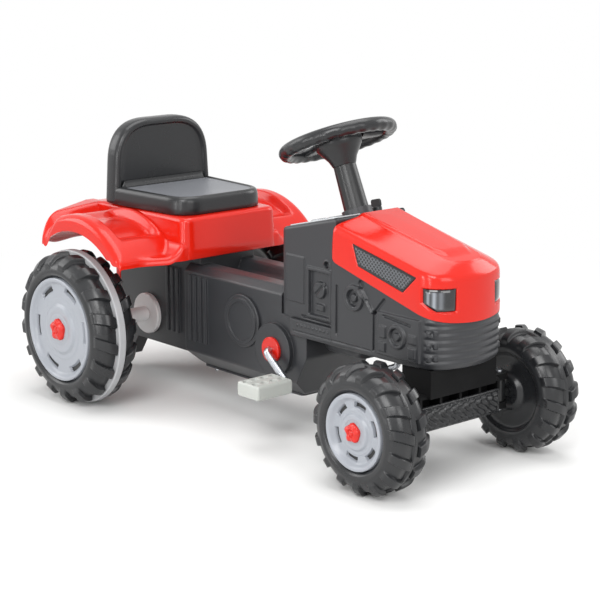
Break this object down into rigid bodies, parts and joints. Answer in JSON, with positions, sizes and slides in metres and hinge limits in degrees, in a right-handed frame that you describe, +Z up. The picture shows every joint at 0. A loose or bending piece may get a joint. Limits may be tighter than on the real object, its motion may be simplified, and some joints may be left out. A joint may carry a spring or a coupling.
{
  "type": "ride on tractor toy",
  "caption": "Pedal-driven ride-on toy tractor with chain drive, steered front wheels, mudguard deck, sliding seat and a tow hitch with a lift-out pin.",
  "frame": {"origin": "middle of the overall length and width, on the ground under the wheels", "axes": "+X forward towards the bonnet, +Y to the rider's left, +Z up"},
  "size_m": [0.95, 0.51, 0.5192],
  "materials": {
    "dark_plastic": "charcoal, fine texture",
    "black_plastic": "black, satin",
    "red_plastic": "red, glossy",
    "tyre_plastic": "black, matte",
    "silver_plastic": "silver-white, satin",
    "grey_plastic": "light grey",
    "grille_plastic": "dark grey",
    "smoked_plastic": "smoked, glossy",
    "amber_plastic": "amber, glossy",
    "pedal_plastic": "pale grey",
    "zinc_steel": "zinc plated",
    "dark_steel": "oiled"
  },
  "bodies": {
    "chassis": {"main_hull": "dark_plastic", "belly_cover": "dark_plastic", "belly_screws": "zinc_steel", "side_covers": "dark_plastic", "tail_knob": "dark_plastic", "crank_bushes": "red_plastic", "rear_axle_bushes": "grey_plastic", "engine_housing": "dark_plastic", "dash_console": "dark_plastic", "dash_panel": "silver_plastic", "column_collar": "dark_plastic", "bonnet": "red_plastic", "side_grille_left": "grille_plastic", "side_grille_right": "grille_plastic", "headlight_left": "smoked_plastic", "headlight_right": "smoked_plastic", "front_axle_beam": "dark_plastic", "kingpins": "zinc_steel", "rear_deck": "red_plastic", "tail_lamp_left": "amber_plastic", "tail_lamp_right": "amber_plastic", "seat_rails": "dark_plastic", "hitch_bracket": "dark_plastic", "drive_chain": "dark_steel"},
    "steering": {"steering_wheel": "black_plastic", "column_sleeve": "black_plastic", "steering_shaft": "zinc_steel", "horn_spring": "zinc_steel"},
    "horn": {"horn_button": "red_plastic"},
    "key": {"ignition_key": "black_plastic"},
    "knuckle_left": {"steering_knuckle_left": "black_plastic", "stub_axle_left": "zinc_steel"},
    "knuckle_right": {"steering_knuckle_right": "black_plastic", "stub_axle_right": "zinc_steel"},
    "tie_bar": {"tie_rod": "dark_steel"},
    "front_wheel_left": {"front_tyre_left": "tyre_plastic", "front_disc_left": "silver_plastic", "front_cap_left": "red_plastic"},
    "front_wheel_right": {"front_tyre_right": "tyre_plastic", "front_disc_right": "silver_plastic", "front_cap_right": "red_plastic"},
    "rear_drive": {"rear_axle": "zinc_steel", "rear_sprocket": "dark_steel", "axle_spacers": "grey_plastic", "axle_nuts": "zinc_steel", "rear_tyre_right": "tyre_plastic", "rear_band_right": "grey_plastic", "rear_disc_right": "silver_plastic", "rear_cap_right": "red_plastic"},
    "rear_wheel_left": {"rear_tyre_left": "tyre_plastic", "rear_band_left": "grey_plastic", "rear_disc_left": "silver_plastic", "rear_cap_left": "red_plastic"},
    "crank": {"pedal_crank": "zinc_steel", "crank_sprocket": "dark_steel"},
    "pedal_left": {"pedal_left": "pedal_plastic"},
    "pedal_right": {"pedal_right": "pedal_plastic"},
    "tow_pin": {"hitch_pin": "red_plastic"},
    "seat": {"seat": "black_plastic"}
  },
  "joints": [
    {"name": "steering_turn", "type": "hinge", "parent": "chassis", "child": "steering", "pos_m": [0.127, 0, 0.476], "axis": [-0.3907, 0, 0.9205], "range_deg": [-58, 58]},
    {"name": "horn_press", "type": "slide", "parent": "steering", "child": "horn", "axis": [0.3907, 0, -0.9205], "range_m": [0, 0.003], "stiffness_N_per_m": 400, "springref_m": -0.002, "deforming": ["horn_spring"]},
    {"name": "key_turn", "type": "hinge", "parent": "chassis", "child": "key", "pos_m": [0.169, 0.047, 0.36313], "axis": [-0.2389, 0, 0.971], "range_deg": [0, 60]},
    {"name": "knuckle_left_turn", "type": "hinge", "parent": "chassis", "child": "knuckle_left", "pos_m": [0.377, 0.108, 0.098], "axis": [0, 0, 1], "range_deg": [-18.35, 18.35]},
    {"name": "knuckle_right_turn", "type": "hinge", "parent": "chassis", "child": "knuckle_right", "pos_m": [0.377, -0.108, 0.098], "axis": [0, 0, 1], "range_deg": [-18.35, 18.35]},
    {"name": "tie_bar_swing", "type": "hinge", "parent": "knuckle_left", "child": "tie_bar", "pos_m": [0.22539, 0.108, 0.106], "axis": [0, 0, 1], "range_deg": [-18.35, 18.35]},
    {"name": "front_left_roll", "type": "hinge", "parent": "knuckle_left", "child": "front_wheel_left", "pos_m": [0.377, 0.1625, 0.098], "axis": [0, 1, 0], "continuous": true},
    {"name": "front_right_roll", "type": "hinge", "parent": "knuckle_right", "child": "front_wheel_right", "pos_m": [0.377, -0.1625, 0.098], "axis": [0, 1, 0], "continuous": true},
    {"name": "rear_drive_roll", "type": "hinge", "parent": "chassis", "child": "rear_drive", "pos_m": [-0.301, 0, 0.132], "axis": [0, 1, 0], "continuous": true, "deforming": ["drive_chain"]},
    {"name": "rear_left_roll", "type": "hinge", "parent": "chassis", "child": "rear_wheel_left", "pos_m": [-0.301, 0.208, 0.132], "axis": [0, 1, 0], "continuous": true},
    {"name": "crank_turn", "type": "hinge", "parent": "chassis", "child": "crank", "pos_m": [0.0607, 0, 0.139], "axis": [0, 1, 0], "continuous": true},
    {"name": "pedal_left_turn", "type": "hinge", "parent": "crank", "child": "pedal_left", "pos_m": [0.00869, 0.139, 0.17963], "axis": [0, 1, 0], "continuous": true},
    {"name": "pedal_right_turn", "type": "hinge", "parent": "crank", "child": "pedal_right", "pos_m": [0.11271, -0.139, 0.09837], "axis": [0, 1, 0], "continuous": true},
    {"name": "tow_pin_lift", "type": "slide", "parent": "chassis", "child": "tow_pin", "axis": [0, 0, 1], "range_m": [0, 0.09]},
    {"name": "seat_adjust", "type": "slide", "parent": "chassis", "child": "seat", "axis": [1, 0, 0], "range_m": [0, 0.032]}
  ],
  "couplings": [
    {"joint": "knuckle_left_turn", "follows": "steering_turn", "ratio": 0.31638},
    {"joint": "knuckle_right_turn", "follows": "steering_turn", "ratio": 0.31638},
    {"joint": "tie_bar_swing", "follows": "steering_turn", "ratio": -0.31638},
    {"joint": "crank_turn", "follows": "rear_drive_roll", "ratio": 0.7}
  ]
}
